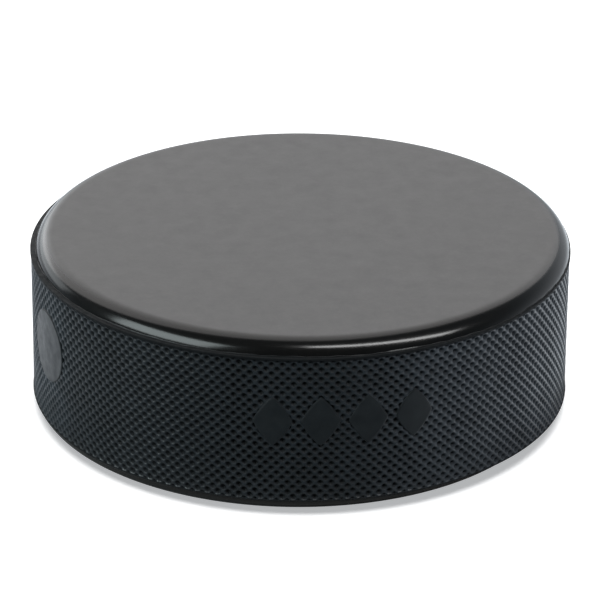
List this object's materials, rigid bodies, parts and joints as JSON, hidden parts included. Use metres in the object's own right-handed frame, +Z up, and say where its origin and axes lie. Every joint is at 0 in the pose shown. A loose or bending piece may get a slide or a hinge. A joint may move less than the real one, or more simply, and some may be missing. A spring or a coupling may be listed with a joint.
{
  "type": "hockey puck",
  "caption": "Ice hockey puck: a solid rubber disc with flat smooth faces, rounded shoulders and a finely knurled side.",
  "frame": {"origin": "centre of the bottom face", "axes": "+Z up through the puck's axis; -Y is the front of the side, where the row of raised lozenges is"},
  "size_m": [0.0762, 0.0762, 0.0254],
  "materials": {
    "knurl_rubber": "dull black vulcanised rubber, knurled",
    "face_rubber": "satin black vulcanised rubber, faintly mottled, glossier on the shoulder",
    "flash_rubber": "thin glossy bead of black rubber",
    "pad_rubber": "smooth satin black rubber"
  },
  "bodies": {
    "root": {"knurled_body": "knurl_rubber", "upper_cap": "face_rubber", "lower_cap": "face_rubber", "upper_flash": "flash_rubber", "lower_flash": "flash_rubber", "side_lozenge_1": "pad_rubber", "side_lozenge_2": "pad_rubber", "side_lozenge_3": "pad_rubber", "side_lozenge_4": "pad_rubber", "side_disc": "pad_rubber"}
  },
  "joints": []
}
